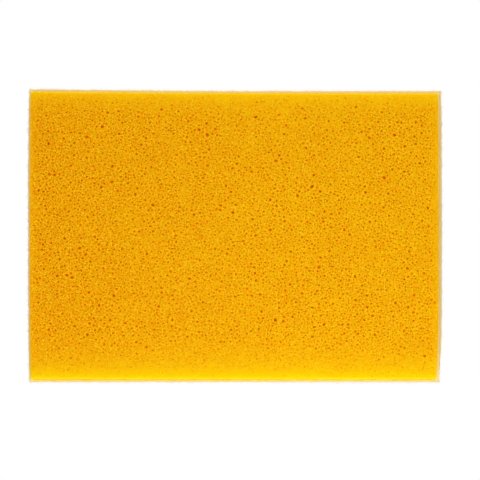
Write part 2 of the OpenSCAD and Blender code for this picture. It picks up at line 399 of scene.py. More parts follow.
def foamPatch(rng, width, height, fades):
    # One cut side of the block, flat, from (0, 0) to (width, height). Gives its points, how deep each lies
    # under the skin, the painted shade of the pore it is in, and the triangles.
    f = foamBlock
    countU, countV = round(width / f["edgeStep"]), round(height / f["edgeStep"])
    u, v = np.linspace(0, width, countU + 1), np.linspace(0, height, countV + 1)
    flat = [(a, 0.0) for a in u] + [(a, height) for a in u]
    flat += [(0.0, b) for b in v[1:-1]] + [(width, b) for b in v[1:-1]]
    for inset in (0.35 * f["rounding"], f["rounding"], 2.4 * f["rounding"]):
        flat += [(a, b) for a in np.arange(inset, width - inset, 1.0) for b in (inset, height - inset)]
        flat += [(a, b) for b in np.arange(inset + 1, height - inset, 1.0) for a in (inset, width - inset)]
    rims, cups = [], []
    for x, y, r in scatterPores(rng, width, height, fades):
        sides = f["sides"] if r > 0.6 else f["sides"] - 2
        room = roomAt(x, y, width, height, fades)
        ring = poreRing(rng, x, y, r, sides)
        rims.append(list(range(len(flat), len(flat) + sides)))
        flat += ring
        cups.append((x + rng.uniform(-0.3, 0.3) * r, y + rng.uniform(-0.3, 0.3) * r, r,
                     r * f["deep"] * rng.uniform(0.75, 1.5) * (0.35 + 0.65 * room), 0.4 + 0.6 * room))
    cut = delaunay_2d_cdt([Vector(p) for p in flat], [], rims, 0, 1e-6, True)
    points = [(p.x, p.y) for p in cut[0]]
    faces = [tuple(face) for face, within in zip(cut[2], cut[5]) if not within]
    newPlace = {}
    for made, olds in enumerate(cut[3]):
        for old in olds:
            newPlace.setdefault(old, made)
    depth, dark = [0.0] * len(points), [0.0] * len(points)
    for rim, (x, y, r, deep, strong) in zip(rims, cups):
        outer = [newPlace[i] for i in rim]
        # Painted shade: larger pores, and pores away from the block's rims, are painted darker.
        tone = strong * min(1.0, 0.35 + 0.5 * (r - f["smallestR"]) / 0.6)
        start = len(points)
        for i in outer:
            points.append((x + 0.66 * (points[i][0] - x), y + 0.66 * (points[i][1] - y)))
            depth.append(0.62 * deep)
            dark.append(0.75 * tone)
        points.append((x, y))
        depth.append(deep)
        dark.append(tone)
        sides = len(outer)
        for k in range(sides):
            a, b = outer[k], outer[(k + 1) % sides]
            c, d = start + (k + 1) % sides, start + k
            faces += [(a, b, c), (a, c, d), (d, c, start + sides)]
    return np.array(points), np.array(depth), np.array(dark), faces


def cutSides(rng):
    # The face, the four sides and the glued back, welded where they meet.
    low, high = spongeLow, spongeHigh
    width, depthY, tall = spongeSize
    alongX, alongY, up = (1, 0, 0), (0, 1, 0), (0, 0, 1)
    sides = [  # corner, direction along, direction up, size along, size up, where the pores thin out
        (low, alongX, alongY, width, depthY, foamBlock["fadeFace"]),
        (low, alongX, up, width, tall, foamBlock["fadeSide"]),
        ((low[0], high[1], low[2]), alongX, up, width, tall, foamBlock["fadeSide"]),
        (low, alongY, up, depthY, tall, foamBlock["fadeSide"]),
        ((high[0], low[1], low[2]), alongY, up, depthY, tall, foamBlock["fadeSide"]),
    ]
    allPoints, allDepth, allDark, allFaces, count = [], [], [], [], 0
    for corner, along, rise, sizeU, sizeV, fades in sides:
        flat, depth, dark, faces = foamPatch(rng, sizeU, sizeV, fades)
        allPoints.append(np.array(corner) + flat[:, :1] * np.array(along) + flat[:, 1:] * np.array(rise))
        allDepth.append(depth)
        allDark.append(dark)
        allFaces += [tuple(i + count for i in f) for f in faces]
        count += len(flat)
    xs = np.linspace(low[0], high[0], round(width / foamBlock["edgeStep"]) + 1)
    ys = np.linspace(low[1], high[1], round(depthY / foamBlock["edgeStep"]) + 1)
    back = [(x, y) for x in xs for y in (low[1], high[1])]
    back += [(x, y) for y in ys[1:-1] for x in (low[0], high[0])]
    back += [(x, y) for x in xs[6:-6:6] for y in ys[6:-6:6]]
    cut = delaunay_2d_cdt([Vector(p) for p in back], [], [], 0, 1e-6, False)
    allPoints.append(np.array([(p.x, p.y, high[2]) for p in cut[0]]))
    allDepth.append(np.zeros(len(cut[0])))
    allDark.append(np.zeros(len(cut[0])))
    allFaces += [tuple(i + count for i in f) for f in cut[2]]
    points, depth, dark = np.concatenate(allPoints), np.concatenate(allDepth), np.concatenate(allDark)
    key = np.round(np.column_stack([points, depth]) * 2000).astype(np.int64)
    _, first, same = np.unique(key, axis=0, return_index=True, return_inverse=True)
    same = same.reshape(-1)
    faces = [tuple(int(same[i]) for i in f) for f in allFaces]
    return points[first], depth[first], dark[first], [f for f in faces if len(set(f)) == 3]


def sinkPores(rng, points, depth, onBack):
    # Rounds the lower edges and the upright corners, then sinks the pores along the skin's own normal.
    f, low, high, r = foamBlock, spongeLow, spongeHigh, foamBlock["rounding"]
    inner = np.column_stack([np.clip(points[:, 0], low[0] + r, high[0] - r),
                             np.clip(points[:, 1], low[1] + r, high[1] - r),
                             np.clip(points[:, 2], low[2] + r, high[2])])
    out = points - inner
    length = np.linalg.norm(out, axis=1, keepdims=True)
    normal = np.divide(out, length, out=np.zeros_like(out), where=length > 1e-9)
    skin = np.where(length > 1e-9, inner + normal * r, points)
    skin[onBack, 2] = high[2]
    waver = f["waver"] * (0.5 + 0.5 * slowWave(skin, 3.0, 13.0))
    grain = rng.uniform(0, f["ragged"], len(skin)) + waver
    skin -= normal * np.where(onBack, 0.0, depth + grain)[:, None]
    nearEdge = np.exp(-np.minimum(high[0] - np.abs(skin[:, 0]), high[1] - np.abs(skin[:, 1])) / 0.8)
    torn = f["tornSlow"] * np.abs(slowWave(skin, 9.0, 3.2)) + f["tornFine"] * np.abs(slowWave(skin, 5.0, 1.1))
    skin[:, :2] -= np.sign(skin[:, :2]) * (nearEdge * torn)[:, None]
    return skin, normal


def drawIn(skin, onBack):
    # Drawn in at the face and a little at the waist, full size at the backing.
    low, high = spongeLow, spongeHigh
    rise = np.clip((skin[:, 2] - low[2]) / spongeSize[2], 0, 1)
    fall, waist = (1 - rise) ** 1.4, foamBlock["waist"] * np.sin(math.pi * rise) ** 2
    for axis in (0, 1):
        lowDraft, highDraft = foamBlock["draft"][2 * axis], foamBlock["draft"][2 * axis + 1]
        inset = np.where(skin[:, axis] < 0, lowDraft, highDraft) * fall + waist
        skin[:, axis] *= 1 - inset / high[axis]
    skin = outlineBow(skin)
    skin[:, 2] += low[2] - skin[:, 2].min()
    skin[onBack, 2] = high[2]
    return skin


def paintedEdgeLight(points, dark):
    # Painted light: the foam's colour is made paler at the block's edges, standing in for light that soaks in
    # there, most of all along the side towards +Y.
    f, low, high = foamBlock, spongeLow, spongeHigh
    back = np.exp(-np.maximum(high[1] - points[:, 1], 0) / f["glowBack"])
    front = f["frontShare"] * np.exp(-(points[:, 1] - low[1]) / f["glowFront"])
    ends = f["endShare"] * np.exp(-(high[0] - np.abs(points[:, 0])) / f["glowEnds"])
    everywhere = f["rimTone"] + f["rimTilt"] * points[:, 0] / high[0]
    glow = np.clip(back + front + (ends + everywhere), 0, 1) * (1 - 0.6 * dark)
    # Little of the painted rim light goes on the sides, so they are as deep in colour as the middle.
    down = np.exp(-np.maximum(points[:, 2] - low[2] - 0.4, 0) / f["glowDown"])
    return glow * (f["sideGlow"] + (1 - f["sideGlow"]) * down)


def buildSponge():
    rng = np.random.default_rng(foamBlock["seed"])
    points, depth, dark, faces = cutSides(rng)
    onBack = points[:, 2] > spongeHigh[2] - 1e-6
    skin, normal = sinkPores(rng, points, depth, onBack)
    skin = drawIn(skin, onBack)
    faceOut = []
    for f in faces:  # every triangle looks outwards
        a, b, c = (skin[i] for i in f)
        away = normal[f[0]] + normal[f[1]] + normal[f[2]]
        if onBack[f[0]] and onBack[f[1]] and onBack[f[2]]:
            away = np.array((0, 0, 1.0))
        faceOut.append(f if np.dot(np.cross(b - a, c - a), away) >= 0 else (f[0], f[2], f[1]))
    sponge = addPiece("sponge", skin, faceOut, "pad", spongeMaterial(), ["sponge_pad"],
                      sharpAngle=38)
    # The pores' painted shade, then the painted rim light, go onto the mesh for the material.
    addAttribute(sponge, "paintedPoreShade", dark)
    addAttribute(sponge, "paintedRimLight", paintedEdgeLight(points, dark))
    print("stage: sponge,", len(skin), "points,", len(faceOut), "triangles")


buildSponge()


def sheetMesh(outline, holes, low, high, spacing, lump, seed, bulge=0.0):
    # A flat closed sheet with any outline: two faces of small triangles and a wall round each edge.
    rng = np.random.default_rng(seed)
    flat = [tuple(p) for p in outline]
    rims = [list(range(len(flat)))]
    for hole in holes:
        rims.append(list(range(len(flat), len(flat) + len(hole))))
        flat += [tuple(p) for p in hole]
    lo, hi = np.min(outline, axis=0), np.max(outline, axis=0)
    for x in np.arange(lo[0] + spacing, hi[0] - spacing / 2, spacing):
        for y in np.arange(lo[1] + spacing, hi[1] - spacing / 2, spacing):
            flat.append((x + rng.uniform(-0.3, 0.3) * spacing, y + rng.uniform(-0.3, 0.3) * spacing))
    cut = delaunay_2d_cdt([Vector(p) for p in flat], [], rims, 0, 1e-6, True)
    keep = [tuple(f) for f, within in zip(cut[2], cut[5]) if list(within) == [0]]
    place = np.array([(p.x, p.y) for p in cut[0]])
    n = len(place)
    bottom = np.column_stack([place, np.full(n, low)])
    wave = lump * slowWave(bottom, seed, 3.5)
    points = np.concatenate([bottom, np.column_stack([place, high + np.minimum(wave, 0)])])
    faces = [(f[0], f[2], f[1]) for f in keep] + [(f[0] + n, f[1] + n, f[2] + n) for f in keep]
    for number, rim in enumerate(rims):
        middle = len(points)
        out = place[rim] - place[rim].mean(0)
        out /= np.linalg.norm(out, axis=1, keepdims=True)
        swell = bulge if number == 0 else 0.0
        waist = np.column_stack([place[rim] + out * swell, np.full(len(rim), (low + high) / 2)])
        points = np.concatenate([points, waist])
        for k in range(len(rim)):
            a, b = rim[k], rim[(k + 1) % len(rim)]
            c, d = middle + k, middle + (k + 1) % len(rim)
            quads = [(a, b, d, c), (c, d, b + n, a + n)]
            faces += quads if number == 0 else [tuple(reversed(q)) for q in quads]
    return outward(*keepUsed(points, faces))


def arcTubes(feet, tips, ends, thickness):
    # Fine yarns, each a triangular tube along a curve through three points.
    count, steps = len(feet), 3
    t = np.linspace(0, 1, steps + 1)[None, :, None]
    line = feet[:, None] * (1 - t) ** 2 + 2 * tips[:, None] * t * (1 - t) + ends[:, None] * t ** 2
    way = np.gradient(line, axis=1)
    way /= np.linalg.norm(way, axis=2, keepdims=True) + 1e-9
    side = np.cross(way, np.array([0.13, 0.31, 0.94]))
    side /= np.linalg.norm(side, axis=2, keepdims=True) + 1e-9
    other = np.cross(way, side)
    rings = [line + thickness * (math.cos(a) * side + math.sin(a) * other) for a in (0.0, 2.094, 4.189)]
    points = np.stack(rings, axis=2).reshape(-1, 3)
    faces = []
    for i in range(count):
        base = i * (steps + 1) * 3
        faces += [tuple(base + j for j in f) for f in ringFaces(steps + 1, 3)]
    return points, faces


loopBacking = {
    "groundDark": (0.80, 0.66, 0.40, 1), "groundLight": (0.97, 0.90, 0.70, 1),
    # The colours next to the sponge are painted light: yellow standing in for the sponge's colour shining
    # through.
    "groundSpongeLight": (1.0, 0.74, 0.07, 1), "yarnSpongeLight": (1.0, 0.76, 0.09, 1),
    "yarnDark": (0.90, 0.78, 0.50, 1), "yarnLight": (0.99, 0.95, 0.82, 1),
    "seed": 5, "edgeStep": 1.2, "ragged": 0.35, "pile": 4200, "fringe": 4400, "yarnR": 0.045,
    "pileRoom": 0.35, "borderShare": 0.45, "endBorder": 9.0, "sideBorder": 7.0, "clearEdge": 1.2,
}


def loopMaterial():
    look = loopBacking
    material, tree, surface = newMaterial("brushed loop fabric", **{
        "Roughness": 0.9, "Specular IOR Level": 0.2, "Sheen Weight": 0.15, "Sheen Roughness": 0.5,
        "Subsurface Weight": 0.8, "Subsurface Radius": (1.0, 0.8, 0.5), "Subsurface Scale": 1.6 * mm})
    knit = useGroup(tree, "knitGround", Stitch=1.1)
    colour = mixColour(tree, knit["Shade"], look["groundDark"], look["groundLight"])
    # Painted light: yellow tint on the fabric's underside next to the sponge.
    colour = mixColour(tree, attributeOf(tree, "spongeLightTint"), colour, look["groundSpongeLight"])
    tree.links.new(colour, surface.inputs["Base Color"])
    bump(tree, surface, knit["Height"], 0.7, 0.3)
    return material


def pileMaterial():
    look = loopBacking
    material, tree, surface = newMaterial("loop pile yarn", **{
        "Roughness": 0.55, "Specular IOR Level": 0.35, "Sheen Weight": 0.3, "Sheen Roughness": 0.4})
    shade = noiseAt(tree, placeOf(tree), 3.0, 3.0)
    colour = mixColour(tree, shade, look["yarnDark"], look["yarnLight"])
    # Painted light: yellow tint on the yarns' underside next to the sponge.
    colour = mixColour(tree, attributeOf(tree, "spongeLightTint"), colour, look["yarnSpongeLight"])
    tree.links.new(colour, surface.inputs["Base Color"])
    bump(tree, surface, noiseAt(tree, placeOf(tree), 0.08, 1.0), 0.3, 0.02)
    return material


def standingLoops(rng, low, high, ground):
    # Loops that stand up on the back, more of them in the border round the board, which is seen.
    b, n, edge = loopBacking, loopBacking["pile"], 1.5
    feet = np.column_stack([rng.uniform(low[0] + edge, high[0] - edge, n),
                            rng.uniform(low[1] + edge, high[1] - edge, n), np.full(n, ground - 0.1)])
    border = rng.random(n) < b["borderShare"]
    inX, outX = high[0] - b["endBorder"], high[0] - b["clearEdge"]
    inY, outY = high[1] - b["sideBorder"], high[1] - b["clearEdge"]
    feet[border, 0] = np.sign(feet[border, 0]) * rng.uniform(inX, outX, border.sum())
    sideBorder = border & (rng.random(n) < 0.6)
    m = sideBorder.sum()
    feet[sideBorder, 0] = rng.uniform(low[0] + edge, high[0] - edge, m)
    feet[sideBorder, 1] = np.where(rng.random(m) < 0.5, -1, 1) * rng.uniform(inY, outY, m)
    swing = rng.uniform(0, 2 * math.pi, n)
    lean = np.column_stack([np.cos(swing), np.sin(swing), np.zeros(n)]) * rng.uniform(0.3, 0.9, n)[:, None]
    room = high[2] - ground
    lift = rng.uniform(0.75, 1.0, n) * 2 * (room + 0.05)
    tips = feet + lean * 0.5 + np.array([0, 0, 1]) * lift[:, None]
    tips[:, 2] = np.minimum(tips[:, 2], high[2] + room)
    return feet, tips, feet + lean


def fringeLoops(rng, outline, size, low, ground):
    # Loops that stick out round the cut edge.
    m = loopBacking["fringe"]
    foot = outline[rng.integers(0, len(outline), m)] + rng.uniform(-0.6, 0.6, (m, 2))
    share, none = foot / size[:2], np.zeros(m)
    endwards = np.column_stack([np.sign(share[:, 0]), none])
    sideways = np.column_stack([none, np.sign(share[:, 1])])
    away = np.where(np.abs(share[:, :1]) > np.abs(share[:, 1:]), endwards, sideways)
    reach = rng.uniform(0.1, 0.85, m)[:, None] ** 1.5
    slant = rng.uniform(-0.6, 0.6, (m, 2))
    z = rng.uniform(low[2] + 0.1, ground, m)
    feet = np.column_stack([foot - away * 0.5, z])
    tips = np.column_stack([foot + away * reach * 1.7 + slant * 0.3, z + rng.uniform(-0.3, 0.3, m)])
    ends = np.column_stack([foot + away * reach * 0.6 + slant, z + rng.uniform(-0.25, 0.25, m)])
    return feet, tips, ends


def buildBacking():
    b = loopBacking
    rng = np.random.default_rng(b["seed"])
    low, high = boxOf("loop_backing")
    size = high - low
    outline = roundedOutline(size[0], size[1], 1.0, b["edgeStep"])
    ragged = b["ragged"] * np.array([noise.noise(Vector((p[0] / 2.4, p[1] / 2.4, 1.7))) for p in outline])
    inward = -outline / np.linalg.norm(outline, axis=1, keepdims=True)
    outline = outline + inward * (0.25 + ragged)[:, None]
    outline = outlineBow(np.column_stack([outline, np.zeros(len(outline))]))[:, :2]
    ground = high[2] - b["pileRoom"]
    points, faces = sheetMesh(outline, [], low[2], ground, 3.2, 0.25, b["seed"], bulge=0.15)
    backing = addPiece("loop_fabric", points, faces, "pad", loopMaterial(), ["loop_backing"],
                       sharpAngle=50)
    standing = standingLoops(rng, low, high, ground)
    fringe = fringeLoops(rng, outline, size, low, ground)
    feet, tips, ends = (np.concatenate(pair) for pair in zip(standing, fringe))
    points, faces = arcTubes(feet, tips, ends, b["yarnR"])
    pile = addPiece("loop_pile", points, faces, "pad", pileMaterial(), ())
    for piece in (backing, pile):  # painted light: the underside next to the sponge is tinted yellow, standing in for the sponge's colour shining through onto the fabric
        place = np.zeros(len(piece.data.vertices) * 3)
        piece.data.vertices.foreach_get("co", place)
        x, y, z = place.reshape(-1, 3).T / mm
        beyond = np.maximum(np.abs(x) - size[0] / 2 + 2.2, np.abs(y) - size[1] / 2 + 1.9)
        spongeLightTint = 0.9 * np.clip(1 - beyond / 2.0, 0, 1) * np.clip((ground - z) / 0.5, 0, 1)
        addAttribute(piece, "spongeLightTint", spongeLightTint)
    print("stage: loop backing,", len(faces), "pile faces")


hookTape = {
    "dark": (0.018, 0.019, 0.021, 1), "light": (0.05, 0.052, 0.058, 1), "roughness": 0.42,
    "base": 0.5, "pitch": 2.1, "stem": 0.14, "head": 0.3, "cornerR": 3.0, "punchR": 5.5, "punchSides": 28,
}
screwHeadR, screwPitch = 4.5, 20.0  # a screw's head, and the distance between the two in a foot


def hookMaterial():
    look = hookTape
    material, tree, surface = newMaterial("moulded hook tape", **{
        "Roughness": look["roughness"], "Specular IOR Level": 0.45})
    knit = useGroup(tree, "knitGround", Stitch=0.9)
    grain = useGroup(tree, "mouldGrain", **{"Grain Size": 0.2})
    tree.links.new(mixColour(tree, knit["Shade"], look["dark"], look["light"]), surface.inputs["Base Color"])
    tree.links.new(maths(tree, "ADD", grain["Gloss"], look["roughness"]), surface.inputs["Roughness"])
    bump(tree, surface, knit["Height"], 0.35, 0.1)
    return material


def buildHookTapes():
    h = hookTape
    material = hookMaterial()
    screwLow, screwHigh = boxOf("handle_screws")
    frontX, rearX = screwLow[0] + screwHeadR, screwHigh[0] - screwHeadR
    screwXs = (frontX, frontX + screwPitch, rearX - screwPitch, rearX)
    turns = [2 * math.pi * k / h["punchSides"] for k in range(h["punchSides"])]
    for side in ("left", "middle", "right"):
        nodeName = "hook_strip_" + side
        low, high = boxOf(nodeName)
        size, middle = high - low, (low + high) / 2
        outline = roundedOutline(size[0], size[1], h["cornerR"], 2.0, middle[:2])
        punched = screwXs if side == "middle" else ()
        holes = [[(x + h["punchR"] * math.cos(a), h["punchR"] * math.sin(a)) for a in turns] for x in punched]
        points, faces = sheetMesh(outline, holes, high[2] - h["base"], high[2], 6.0, 0.0, 2)
        # Rows of mushroom hooks, from the tape down to the loops.
        rows = [(x, y) for i, x in enumerate(np.arange(low[0] + 2, high[0] - 1.5, h["pitch"]))
                for y in np.arange(low[1] + 1.6 + (i % 2) * h["pitch"] / 2, high[1] - 1.2, h["pitch"])]
        rows = [p for p in rows if all(math.dist(p, (x, 0)) > h["punchR"] + 0.7 for x in punched)]
        profile = [(h["stem"] * 1.4, high[2] - h["base"] + 0.05), (h["stem"], low[2] + 0.28),
                   (h["head"], low[2] + 0.16), (h["head"] * 0.55, low[2] + 0.02)]
        corner = [(math.cos(a), math.sin(a)) for a in (0.6, 2.17, 3.74, 5.31)]
        stack = [(x + r * c, y + r * s, z) for x, y in rows for r, z in profile for c, s in corner]
        start, per = len(points), len(profile) * len(corner)
        points = np.concatenate([points, np.array(stack)])
        shape = outward(np.array(stack[:per]), ringFaces(len(profile), len(corner)))[1]
        for number in range(len(rows)):
            faces += [tuple(start + number * per + i for i in f) for f in shape]
        addPiece("hook_tape_" + side, points, faces, "board_and_handle", material, [nodeName],
                 sharpAngle=40)
    print("stage: hook tapes")


buildBacking()
buildHookTapes()


driedGrout = (0.62, 0.60, 0.56, 1)


def mouldedMaterial(name, look):
    material, tree, surface = newMaterial(name, **{
        "Roughness": look["roughness"], "Specular IOR Level": 0.42})
    grain = useGroup(tree, "mouldGrain", **{"Grain Size": look["grain"], "Gloss Change": 0.16})
    wear = useGroup(tree, "edgeWear", Amount=look["wear"])
    film = useGroup(tree, "groutHaze", Amount=look["haze"])
    colour = mixColour(tree, grain["Tone"], look["dark"], look["light"])
    colour = mixColour(tree, wear["Worn"], colour, look["worn"])
    colour = mixColour(tree, film["Haze"], colour, driedGrout)
    tree.links.new(colour, surface.inputs["Base Color"])
    rough = maths(tree, "ADD", grain["Gloss"], look["roughness"])
    rough = maths(tree, "SUBTRACT", rough, maths(tree, "MULTIPLY", wear["Worn"], 0.15))
    rough = maths(tree, "ADD", rough, maths(tree, "MULTIPLY", film["Haze"], 0.3), clamp=True)
    tree.links.new(rough, surface.inputs["Roughness"])
    bump(tree, surface, grain["Height"], 0.5, look["grainDepth"])
    return material


handleFrame = {
    "dark": (0.030, 0.032, 0.035, 1), "light": (0.040, 0.042, 0.046, 1), "worn": (0.11, 0.11, 0.12, 1),
    "roughness": 0.40, "grain": 0.38, "grainDepth": 0.05, "haze": 0.05, "wear": 0.5,
    "frontFoot": -76.0, "rearFoot": 64.0, "eyeX": 97.0,  # places along the board
    "footSize": (52.0, 40.0, 9.0),  # length, width and corner radius of a foot's flange
    "sectionPower": 2.4, "gripFrom": 0.38, "gripTo": 0.695, "plugFrom": 0.875, "grooveDepth": 2.5,
    "voxel": 0.62, "pilotR": 2.0, "spigotR": 5.0, "spigotLength": 16.0, "seamHeight": 0.07,
    "smoothing": (3, 0.32), "blending": (60, 0.6),  # rounds and strength, all over and at the rear leg
}
handleFinish = mouldedMaterial("charcoal handle plastic", handleFrame)
boardTop = boxOf("base_plate")[1][2]
frontFoot, rearFoot, eyeX = handleFrame["frontFoot"], handleFrame["rearFoot"], handleFrame["eyeX"]

# Stations along the handle: place along the board, height over it, half width, half thickness.
bridge = np.array([
    (frontFoot, 1.5, 16, 20), (frontFoot, 9, 15, 17.5), (frontFoot + 1, 22, 14, 14),
    (frontFoot + 9, 38, 13.5, 12.5), (frontFoot + 26, 49, 14, 12), (frontFoot + 50, 53, 15, 12.5),
    (frontFoot + 76, 53.5, 15.5, 13), (rearFoot - 38, 51.5, 15, 12.5), (rearFoot - 12, 48, 14, 12),
    (rearFoot + 12, 45, 12, 11), (rearFoot + 28, 43.8, 9, 9), (eyeX + 3, 43.5, 7.5, 6.5)])
post = np.array([
    (rearFoot, 1.5, 16, 20), (rearFoot, 9, 15, 17.5), (rearFoot - 1, 22, 13, 13),
    (rearFoot - 3, 34, 12, 11.5), (rearFoot - 4, 45, 10, 10)])


def station(path, share):
    # A smooth curve through the stations, share from 0 to 1.
    v = share * (len(path) - 1)
    i = min(int(v), len(path) - 2)
    a, b, c, d = (path[max(0, min(len(path) - 1, k))] for k in (i - 1, i, i + 1, i + 2))
    t = v - i
    square, cube = (2 * a - 5 * b + 4 * c - d) * t * t, (3 * b - a - 3 * c + d) * t ** 3
    return 0.5 * (2 * b + (c - a) * t + square + cube)


def heading(path, share):
    step = 0.004
    way = (station(path, min(1, share + step)) - station(path, max(0, share - step)))[:2]
    if share < step:
        way = np.array((0.0, 1.0))
    return way / np.linalg.norm(way)


def sectionRing(path, share, sides, grow=0.0):
    # grow may be one number, or one for each side.
    s, way = station(path, share), heading(path, share)
    turn = np.arange(sides) * 2 * math.pi / sides
    power = 2 / handleFrame["sectionPower"]
    bend = lambda v: np.sign(v) * np.abs(v) ** power
    up, across = (s[3] + grow) * bend(np.cos(turn)), (s[2] + grow) * bend(np.sin(turn))
    return np.column_stack([s[0] - way[1] * up, across, boardTop + s[1] + way[0] * up])


def loft(rings, closedLoop=False):
    return outward(np.concatenate(rings), ringFaces(len(rings), len(rings[0]), closedLoop))


def turned(profile, centre, axis, sides=48):
    # A lathe shape: (radius, height) pairs turned about an axis through centre.
    axis = np.array(axis, float)
    first = np.cross(axis, (0.3, 0.5, 0.81))
    first /= np.linalg.norm(first)
    second = np.cross(axis, first)
    turn = (np.arange(sides) * 2 * math.pi / sides)[:, None]
    return loft([np.array(centre) + axis * height + radius * (np.cos(turn) * first + np.sin(turn) * second)
                 for radius, height in profile])


def footShape(x):
    # The flange, with a rounded top edge.
    full, rings = handleFrame["footSize"], []
    for height, inset in ((0.0, 0.35), (0.35, 0.0), (3.4, 0.0), (4.3, 0.35), (4.85, 1.1), (5.0, 2.2)):
        outline = roundedOutline(full[0] - 2 * inset, full[1] - 2 * inset, full[2] - inset, 2.0, (x, 0), full)
        rings.append(np.column_stack([outline, np.full(len(outline), boardTop + height)]))
    return loft(rings)


def skirtShape(path):
    # The fillet that runs from the flange up into the leg.
    rings, count, spread = [], 8, 4.2
    for k in range(count + 1):
        t = k / count
        share = (0.25 + 0.9 * t) / (len(path) - 1)
        rings.append(sectionRing(path, share, 64, spread * (1 - math.sqrt(max(0, 1 - (1 - t) ** 2)))))
    return loft(rings)


def fuse(name, parts, cuts, voxel):
    # Joins closed shapes, cuts others away, and lets a fine voxel skin close every seam.
    def solid(points, faces):
        mesh = bpy.data.meshes.new(name + "_part")
        mesh.from_pydata(np.asarray(points).tolist(), [], faces)
        mesh.validate()
        made = bpy.data.objects.new(name + "_part", mesh)
        bpy.context.scene.collection.objects.link(made)
        return made

    whole, *joined = [solid(*part) for part in parts]
    removed = [solid(*cut) for cut in cuts]
    for operation, others in (("UNION", joined), ("DIFFERENCE", removed)):
        for other in others:
            step = whole.modifiers.new(operation.lower(), "BOOLEAN")
            step.operation, step.solver, step.object = operation, "EXACT", other
    skin = whole.modifiers.new("skin", "REMESH")
    skin.mode, skin.voxel_size = "VOXEL", voxel
    mesh = bpy.data.meshes.new_from_object(whole.evaluated_get(bpy.context.evaluated_depsgraph_get()))
    points = np.zeros(len(mesh.vertices) * 3)
    mesh.vertices.foreach_get("co", points)
    faces = [tuple(p.vertices) for p in mesh.polygons]
    for made in [whole] + joined + removed:
        old = made.data
        bpy.data.objects.remove(made)
        bpy.data.meshes.remove(old)
    bpy.data.meshes.remove(mesh)
    return points.reshape(-1, 3), faces


def soften(points, faces, rounds, weight):
    # Laplacian smoothing, as strong at each point as weight says.
    edges = np.array([(f[k], f[(k + 1) % len(f)]) for f in faces for k in range(len(f))])
    count = np.bincount(edges[:, 0], minlength=len(points))[:, None]
    for _ in range(rounds):
        total = np.zeros_like(points)
        for axis in range(3):
            total[:, axis] = np.bincount(edges[:, 0], points[edges[:, 1], axis], minlength=len(points))
        points = points + weight[:, None] * (total / count - points)
    return points


def bridgeRings(start, end, count, grow=0.0):
    return [sectionRing(bridge, start + (end - start) * i / count, 64, grow) for i in range(count + 1)]


def buildHandleFrame():
    h = handleFrame
    span = loft(bridgeRings(0, h["gripFrom"], 44)
                + bridgeRings(h["gripFrom"], h["gripTo"], 30, -h["grooveDepth"])
                + bridgeRings(h["gripTo"], h["plugFrom"], 22))
    leg = loft([sectionRing(post, i / 32, 64) for i in range(33)])
    place, screwTop = station(bridge, h["plugFrom"]), boxOf("handle_screws")[1][2]
    pilot = [(h["pilotR"], -1), (h["pilotR"], screwTop + 2 - boardTop)]
    pilots = [turned(pilot, (foot + side * screwPitch / 2, 0, boardTop), (0, 0, 1), 24)
              for foot in (frontFoot, rearFoot) for side in (-1, 1)]
    socket = turned([(h["spigotR"], -h["spigotLength"] - 1), (h["spigotR"], 20)],
                    (place[0], 0, boardTop + place[1]), (1, 0, 0), 32)
    feet = [footShape(frontFoot), footShape(rearFoot), skirtShape(bridge), skirtShape(post)]
    points, faces = fuse("frame", [span, leg] + feet, pilots + [socket], h["voxel"])
    # Soften everything a touch, and the rear leg's meeting with the bridge a lot.
    meeting = np.array((rearFoot - 3, 0, boardTop + 36))
    near = np.exp(-(np.linalg.norm((points - meeting) / (15, 16, 5.5), axis=1)) ** 4)
    seated = np.abs(points[:, 2] - boardTop) < 0.4
    (rounds, strength), (blendRounds, blendStrength) = h["smoothing"], h["blending"]
    points = soften(points, faces, rounds, np.where(seated, 0.0, strength))
    points = soften(points, faces, blendRounds, np.where(seated, 0.0, blendStrength * near))
    # The mould's parting line: a hair-thin raised seam along the middle of the top and ends.
    seam = np.exp(-(points[:, 1] / 0.33) ** 2) * (points[:, 2] > boardTop + 8)
    core = np.column_stack([points[:, 0], np.zeros(len(points)), np.full(len(points), boardTop + 48)])
    away = points - core
    away /= np.linalg.norm(away, axis=1, keepdims=True) + 1e-9
    points = points + away * (h["seamHeight"] * seam)[:, None]
    points[:, 2] = np.maximum(points[:, 2], boardTop)
    addPiece("handle_body", points, faces, "board_and_handle", handleFinish, ["handle_frame"])
    print("stage: handle frame,", len(points), "points")


softGrip = {
    "dark": (0.014, 0.014, 0.015, 1), "light": (0.022, 0.022, 0.024, 1), "worn": (0.05, 0.05, 0.052, 1),
    "roughness": 0.62, "grain": 0.28, "grainDepth": 0.06, "haze": 0.07, "wear": 0.35,
    "rings": 230, "sides": 112, "length": 94.0, "proud": 1.0, "taper": 0.12, "fingers": 4,
    "fingerDepth": 0.75, "ribPitch": 3.1, "ribDepth": 0.42, "dotRows": 18, "dotHeight": 0.28,
}


